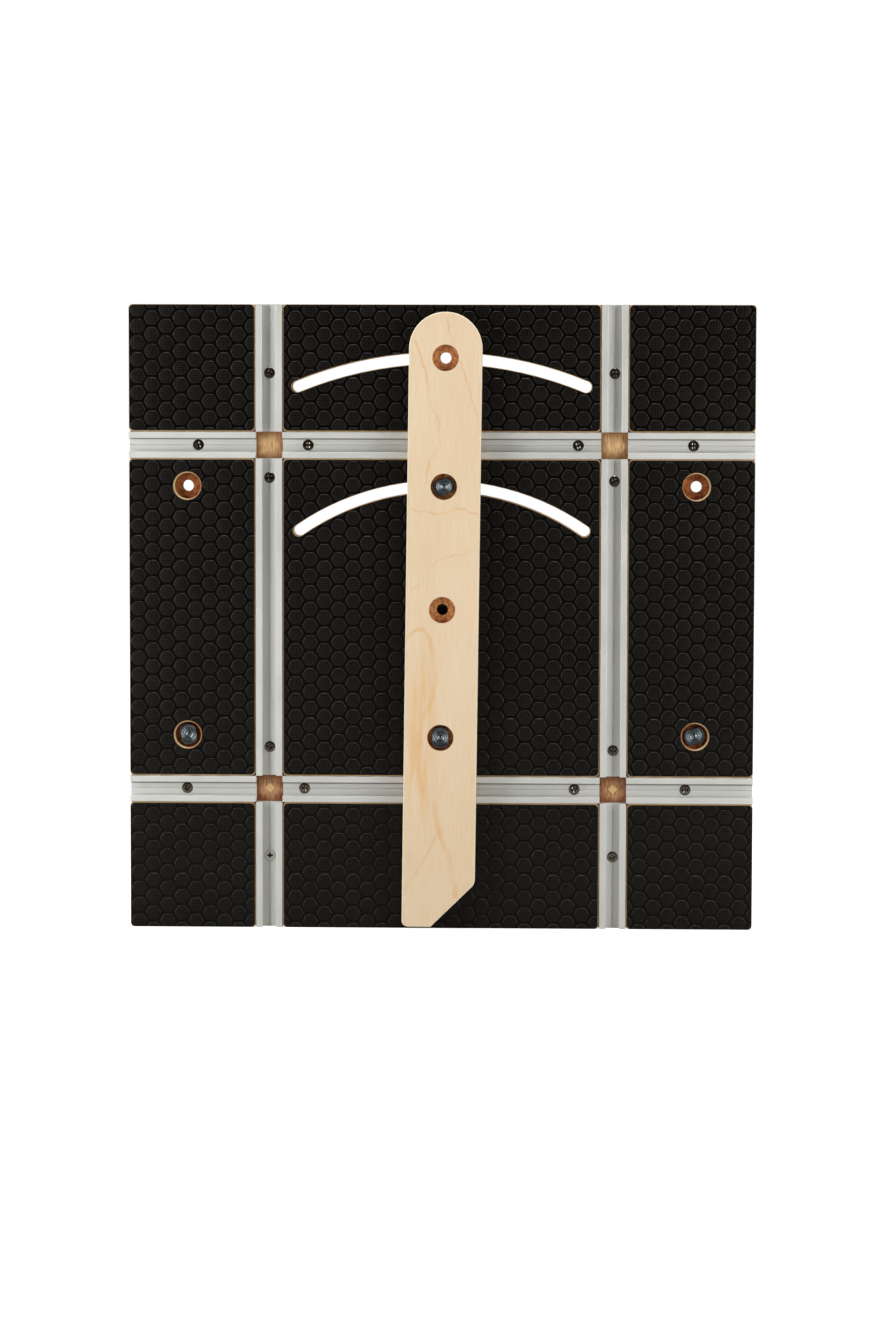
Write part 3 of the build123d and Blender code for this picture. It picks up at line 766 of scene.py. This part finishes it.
def turned_zinc(name, x, z):
    """Dark zinc plate on turned steel: blue-grey, with fine bright rings left by the lathe tool."""
    made, tree = new_material(name)
    place = add(tree, "TexCoord", {}).outputs["Object"]
    position = add(tree, "SeparateXYZ", {}, place)
    side = add(tree, "Math", {"operation": "SUBTRACT"}, position.outputs["X"], x)
    rise = add(tree, "Math", {"operation": "SUBTRACT"}, position.outputs["Z"], z)
    rings = radius_of(tree, side, rise)
    rings = add(tree, "Math", {"operation": "MULTIPLY"}, rings, 1 / (lathe_ring * MM))
    rings = add(tree, "CombineXYZ", {}, rings, 0.0, 0.0)
    rings = add(tree, "TexNoise", {}, Vector=rings, Scale=1.6, Detail=2.0)
    cloud = add(tree, "TexNoise", {}, Vector=place, Scale=330.0, Detail=4.0, Roughness=0.6)
    metal = add(tree, "MixRGB", {}, cloud, linear("#434a4f"), linear("#899197"))
    metal = add(tree, "MixRGB", {"blend_type": "MULTIPLY"}, 0.5, metal, rings.outputs["Color"])
    rough = add(tree, "MapRange", {"clamp": True}, rings, 0.3, 0.7, 0.2, 0.36)
    bump = add(tree, "Bump", {}, Strength=0.35, Distance=0.00005, Height=rings)
    shade = add(tree, "BsdfPrincipled", {}, Base_Color=metal, Metallic=1.0, Roughness=rough, Normal=bump)
    add(tree, "OutputMaterial", {}, Surface=shade)
    return made


head_height = 5.3
thread_start = 0.0
fixing_low, fixing_high = (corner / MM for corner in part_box("fixing_bolts"))
for side, x, flat_angle in (("left", -fixing_x / MM, 100.0), ("right", fixing_x / MM, 14.0)):
    rings = bolt_rings(fixing_low.y, fixing_low.y + head_height, fixing_high.y, thread_start, 3.6, flat_angle)
    mesh = bmesh.new()
    turned(mesh, rings, x, 0.0, bolt_segments)
    finish = turned_zinc(f"dark_zinc_turned_steel_{side}", x * MM, 0.0)
    new_piece(f"fixing_bolt_{side}", mesh, finish, "panel", ["fixing_bolts"], smooth=30)

for name, body_name, flat_angle in (("pivot_bolt", "panel", 90.0), ("guide_bolt", "swing_arm", 20.0)):
    low, high = (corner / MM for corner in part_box(name))
    x, z = (low.x + high.x) / 2, (low.z + high.z) / 2
    rings = bolt_rings(low.y, low.y + head_height, high.y, low.y + 20.0, 4.0, flat_angle)
    mesh = bmesh.new()
    turned(mesh, rings, x, z, bolt_segments)
    finish = turned_zinc(f"dark_zinc_turned_steel_{name}", x * MM, z * MM)
    new_piece(f"turned_{name}", mesh, finish, body_name, [name], smooth=30)

# ---- Washers and lock nut ------------------------------------------------------------
# Punched steel washers and a hexagon lock nut with a nylon ring, which holds the pivot bolt so
# that the arm still turns. All are bright zinc plated.
washer_edge, punched_edge = 0.3, 0.1  # the rounded front edge and the sharp back one
washer_bore = 4.2
nut_half, nut_corner_radius, nut_beyond_corners = 6.5, 7.2, 9.0
nut_bore, collar_radius = 4.1, 6.2


def ring_body(mesh, outer, bore, x, z, segments):
    """Adds a closed ring from its outer rings, front to back, and its bore rings, back to front."""
    loops = []
    for y, radius in outer + bore:
        loops.append([
            mesh.verts.new((x + radius(tau * i / segments) * cos(tau * i / segments), y,
                            z + radius(tau * i / segments) * sin(tau * i / segments)))
            for i in range(segments)
        ])
    for low, high in zip(loops, loops[1:] + loops[:1]):
        for i in range(segments):
            j = (i + 1) % segments
            mesh.faces.new((low[i], low[j], high[j], high[i]))


for name, body_name in (("pivot_washer", "panel"), ("guide_washer", "swing_arm")):
    low, high = (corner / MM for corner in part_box(name))
    radius = (high.x - low.x) / 2
    mesh = bmesh.new()
    outer = [
        (low.y, round_ring(radius - washer_edge)),
        (low.y + washer_edge / 3, round_ring(radius - washer_edge / 3)),
        (low.y + washer_edge, round_ring(radius)), (high.y - punched_edge, round_ring(radius)),
        (high.y, round_ring(radius - punched_edge)),
    ]
    bore = [
        (high.y, round_ring(washer_bore + 0.1)), (high.y - 0.1, round_ring(washer_bore)),
        (low.y + 0.2, round_ring(washer_bore)), (low.y, round_ring(washer_bore + 0.2)),
    ]
    ring_body(mesh, outer, bore, (low.x + high.x) / 2, (low.z + high.z) / 2, bolt_segments)
    new_piece(f"punched_{name}", mesh, bright_zinc, body_name, [name], smooth=35)

low, high = (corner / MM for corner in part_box("pivot_nut"))
collar_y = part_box("nut_nylon_ring")[0].y / MM
mesh = bmesh.new()
hexagon = [
    (low.y, nut_corner_radius - 0.9), (low.y + 0.45, nut_corner_radius), (low.y + 0.75, nut_beyond_corners),
    (collar_y - 0.75, nut_beyond_corners), (collar_y - 0.35, nut_corner_radius), (collar_y, 6.45),
]
collar = [
    (collar_y + 0.25, collar_radius), (high.y - 0.7, collar_radius),
    (high.y - 0.2, collar_radius - 0.2), (high.y, collar_radius - 0.5),
]
outer = [(y, flatted_ring(r, nut_half, 30, 6)) for y, r in hexagon]
outer += [(y, round_ring(r)) for y, r in collar]
bore = [(high.y, round_ring(5.3)), (high.y - 0.3, round_ring(5.18)), (collar_y, round_ring(5.18))]
bore += [(collar_y, round_ring(nut_bore)), (low.y + 0.3, round_ring(nut_bore))]
bore += [(low.y, round_ring(nut_bore + 0.4))]
ring_body(mesh, outer, bore, 0.0, 0.0, bolt_segments)
new_piece("pivot_lock_nut", mesh, bright_zinc, "panel", ["pivot_nut"], smooth=30)

# Moulded nylon: blue, with a soft shine and the faint cloudiness of the melt.
blue_nylon, tree = new_material("moulded_blue_nylon")
place = add(tree, "TexCoord", {}).outputs["Object"]
cloud = add(tree, "TexNoise", {}, Vector=place, Scale=500.0, Detail=2.0)
plastic = add(tree, "MixRGB", {}, cloud, linear("#27497f"), linear("#3a63a4"))
bump = add(tree, "Bump", {}, Strength=0.2, Distance=0.00005, Height=cloud)
shade = add(tree, "BsdfPrincipled", {}, Base_Color=plastic, Roughness=0.38, IOR=1.53, Normal=bump)
add(tree, "OutputMaterial", {}, Surface=shade)
dress("nut_nylon_ring", blue_nylon)

# ---- Arm -----------------------------------------------------------------------------
# A straight edge of 18 mm birch plywood, cut and bored by router, its edges just broken with
# sandpaper. It stands just off the film and turns on the pivot bolt.
arm_lean = 0.67  # degrees, as clamped
arm_hole_heights = (0.0, 102.0, 200.0, 302.0)
arm_counterbore = 10.6
ripple_reach = 5.0  # how far a growth line wanders
stain_x, stain_z, stain_width, stain_height = -16, 2, 14, 78
scorch_and_shade_depth = (0.6 * MM, 1.6 * MM)  # below the arm's face: clean, then scorched brown with painted shade in the counterbores
# Growth lines of the face veneer, as a width and the (along, across) places that it passes. The
# first letter is the axis that it runs along.
growth_lines = {
    "crown": ("Z", 1.4, [(335, 0.5), (318, 4), (302, 10), (285, 17), (270, 21), (255, 26), (240, 29)]),
    "left_wave": (
        "Z", 1.5,
        [(318, -26), (300, -19), (285, -14), (265, -12), (252, -5), (235, -5), (218, -12), (198, -15)],
    ),
    "upper_cross": ("X", 1.6, [(-27, 183), (-16, 180), (-5, 179), (6, 181), (15, 183), (20, 180), (28, 179)]),
    "middle_cross": (
        "X", 1.3,
        [(-26, 116), (-16, 126), (-5, 140), (2, 144), (9, 146), (17, 147), (24, 152), (28, 159)],
    ),
    "left_arch": (
        "Z", 3.6,
        [(86, -17), (76, -9), (60, -6), (42, -5), (26, -9), (10, -15), (-20, -17), (-48, -9)],
    ),
    "arch_crown": ("X", 3.2, [(-29, 78), (-24, 83), (-18, 86), (-12, 80)]),
    "left_leg": ("X", 4.6, [(-28, -123), (-18, -109), (-11, -97), (-6, -86), (-2, -76)]),
    "right_leg": ("Z", 3.8, [(-50, -4), (-66, -2), (-76, 0), (-88, 5), (-105, 10), (-130, 14)]),
}
arm_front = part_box("arm")[0].y

# Sanded rotary-cut birch: cream with soft amber growth lines that wander and peak, fine upright
# fibre, striped edges, a painted highlight on the broken edges and scorched brown counterbores
# deepened with painted shade. It has a low satin sheen.
sanded_birch, tree = new_material("sanded_rotary_birch")
coordinates = add(tree, "TexCoord", {})
leaning = add(tree, "Mapping", {}, coordinates.outputs["Object"], Rotation=(0.0, -radians(arm_lean), 0.0))
place = add(tree, "SeparateXYZ", {}, leaning)
facing = add(tree, "SeparateXYZ", {}, coordinates.outputs["Normal"])
flat = add(tree, "Math", {"operation": "ABSOLUTE"}, facing.outputs["Y"])
# Painted highlight: this marks out the arm's broken edges, which tilt towards the lamps.
painted_rim = add(tree, "MapRange", {"clamp": True}, flat, 0.8, 0.9, 1.0, 0.0)
flat = add(tree, "MapRange", {"clamp": True}, flat, 0.55, 0.65, 0.0, 1.0)
fibre = add(tree, "Mapping", {}, leaning, Scale=(1500.0, 1500.0, 45.0))
fibre = add(tree, "TexNoise", {}, Vector=fibre, Scale=1.0, Detail=3.0, Roughness=0.6)
broad = add(tree, "Mapping", {}, leaning, Scale=(26.0, 26.0, 7.0))
broad = add(tree, "TexNoise", {}, Vector=broad, Scale=1.0, Detail=2.0)
ripple = add(tree, "TexNoise", {}, Vector=leaning, Scale=170.0, Detail=2.0, Roughness=0.6)
ripple = add(tree, "Math", {"operation": "MULTIPLY_ADD"}, ripple, ripple_reach * MM, -ripple_reach / 2 * MM)
grown = None
for name, (axis, line_width, points) in growth_lines.items():
    other = "X" if axis == "Z" else "Z"
    lows = [min(p[i] for p in points) for i in (0, 1)]
    spans = [max(p[i] for p in points) - lows[i] for i in (0, 1)]
    along = add(
        tree, "MapRange", {"clamp": True}, place.outputs[axis],
        lows[0] * MM, (lows[0] + spans[0]) * MM, 0.0, 1.0,
    )
    curve = add(tree, "FloatCurve", {}, Value=along)
    dots = curve.mapping.curves[0].points
    for i, (u, v) in enumerate(sorted(points)):
        spot = ((u - lows[0]) / spans[0], (v - lows[1]) / spans[1])
        if 0 < i < len(points) - 1:
            dots.new(*spot)
        else:
            dots[0 if i == 0 else -1].location = spot
    curve.mapping.update()
    line = add(tree, "MapRange", {}, curve, 0.0, 1.0, lows[1] * MM, (lows[1] + spans[1]) * MM)
    off = add(tree, "Math", {"operation": "SUBTRACT"}, place.outputs[other], line)
    off = add(tree, "Math", {"operation": "ADD"}, off, ripple)
    off = add(tree, "Math", {"operation": "ABSOLUTE"}, off)
    soft = {"clamp": True, "interpolation_type": "SMOOTHSTEP"}
    mark = add(tree, "MapRange", soft, off, 0.0, line_width * MM, 1.0, 0.0)
    ends = add(tree, "Math", {"operation": "PINGPONG"}, along, 0.5)
    ends = add(tree, "MapRange", {"clamp": True}, ends, 0.0, 0.03, 0.0, 1.0)
    mark = add(tree, "Math", {"operation": "MULTIPLY"}, mark, ends)
    grown = mark if grown is None else add(tree, "Math", {"operation": "MAXIMUM"}, grown, mark)
face = add(tree, "MixRGB", {}, broad, linear("#e1c8a6"), linear("#edd9bd"))
tick = add(tree, "MapRange", {"clamp": True}, fibre, 0.35, 0.65, 0.0, 0.35)
face = add(tree, "MixRGB", {"blend_type": "MULTIPLY"}, tick, face, linear("#ecdcc0"))
patch = add(tree, "Mapping", {}, leaning, Scale=(120.0, 120.0, 45.0))
patch = add(tree, "TexNoise", {}, Vector=patch, Scale=1.0)
patch = add(tree, "MapRange", {"clamp": True}, patch, 0.35, 0.65, 0.2, 0.75)
weight = add(tree, "Math", {"operation": "MULTIPLY"}, grown, patch)
face = add(tree, "MixRGB", {}, weight, face, linear("#dfb27a"))
stain = add(
    tree, "Mapping", {}, leaning, Location=(-stain_x / stain_width, 0.0, -stain_z / stain_height),
    Scale=(1000 / stain_width, 0.0, 1000 / stain_height),
)
stain = add(tree, "VectorMath", {"operation": "LENGTH"}, stain).outputs["Value"]
stain = add(tree, "MapRange", {"clamp": True}, stain, 0.5, 1.1, 1.0, 0.0)
streak = add(tree, "Mapping", {}, leaning, Scale=(150.0, 150.0, 20.0))
streak = add(tree, "TexNoise", {}, Vector=streak, Scale=1.0)
streak = add(tree, "MapRange", {"clamp": True}, streak, 0.40, 0.62, 0.0, 0.75)
stain = add(tree, "Math", {"operation": "MULTIPLY"}, stain, streak)
face = add(tree, "MixRGB", {}, stain, face, linear("#e2b983"))
edge = ply_edge(tree, coordinates.outputs["Object"], "#f0dcb6", "#dcbb8a", "#bd9463", ply_thickness)
edge_speck = add(tree, "TexNoise", {}, Vector=coordinates.outputs["Object"], Scale=1500.0, Detail=2.0)
edge = add(tree, "MixRGB", {"blend_type": "MULTIPLY"}, 0.3, edge, edge_speck.outputs["Color"])
# Painted highlight: a cream line along the broken edges.
face = add(tree, "MixRGB", {}, painted_rim, face, linear("#fdf0d4"))
wood = add(tree, "MixRGB", {}, flat, edge, face)
sunk = add(
    tree, "MapRange", {"clamp": True}, place.outputs["Y"],
    arm_front + scorch_and_shade_depth[0], arm_front + scorch_and_shade_depth[1], 0.0, 1.0,
)
in_holes = None
for height in arm_hole_heights:
    rise = add(tree, "Math", {"operation": "SUBTRACT"}, place.outputs["Z"], height * MM)
    away = radius_of(tree, place.outputs["X"], rise)
    inside = add(tree, "Math", {"operation": "LESS_THAN"}, away, arm_counterbore * MM)
    in_holes = inside if in_holes is None else add(tree, "Math", {"operation": "MAXIMUM"}, in_holes, inside)
# Scorched brown with painted shade in the counterbores, below the face.
in_holes = add(tree, "Math", {"operation": "MULTIPLY"}, in_holes, sunk)
scorch = add(tree, "TexNoise", {}, Vector=coordinates.outputs["Object"], Scale=420.0, Detail=3.0)
scorch_and_shade = tinted(tree, scorch, 0.3, 0.7, "#9c5a27", "#e8b074")
wood = add(tree, "MixRGB", {}, in_holes, wood, scorch_and_shade)
bump = add(tree, "Bump", {}, Strength=0.2, Distance=0.0001, Height=fibre)
shade = add(
    tree, "BsdfPrincipled", {},
    Base_Color=wood, Roughness=0.58, IOR=1.45, Specular_IOR_Level=0.35, Normal=bump,
)
add(tree, "OutputMaterial", {}, Surface=shade)
dress("arm", sanded_birch)

# ---- Clamping knob -------------------------------------------------------------------
# A seven-lobed knob of black thermoset, compression moulded round a knurled brass insert. It
# screws onto the guide bolt behind the panel and pulls the arm tight.
# Moulded thermoset: deep black, with a soft gloss, faint flow clouds and a very fine orange peel.
thermoset, tree = new_material("moulded_black_thermoset")
place = add(tree, "TexCoord", {}).outputs["Object"]
cloud = add(tree, "TexNoise", {}, Vector=place, Scale=160.0, Detail=3.0)
peel = add(tree, "TexNoise", {}, Vector=place, Scale=1300.0, Detail=1.0)
plastic = add(tree, "MixRGB", {}, cloud, linear("#121213"), linear("#1f1f20"))
gloss = add(tree, "MapRange", {"clamp": True}, cloud, 0.3, 0.7, 0.26, 0.38)
bump = add(tree, "Bump", {}, Strength=0.12, Distance=0.00006, Height=peel)
shade = add(tree, "BsdfPrincipled", {}, Base_Color=plastic, Roughness=gloss, IOR=1.55, Normal=bump)
add(tree, "OutputMaterial", {}, Surface=shade)
dress("knob", thermoset)

# Turned brass: warm yellow, clouded and slightly roughened by a light tarnish.
brass, tree = new_material("turned_brass")
place = add(tree, "TexCoord", {}).outputs["Object"]
tarnish = add(tree, "TexNoise", {}, Vector=place, Scale=380.0, Detail=3.0)
metal = add(tree, "MixRGB", {}, tarnish, linear("#9c7a35"), linear("#d8b766"))
bump = add(tree, "Bump", {}, Strength=0.2, Distance=0.00004, Height=tarnish)
shade = add(tree, "BsdfPrincipled", {}, Base_Color=metal, Metallic=1.0, Roughness=0.32, Normal=bump)
add(tree, "OutputMaterial", {}, Surface=shade)
dress("knob_insert", brass)
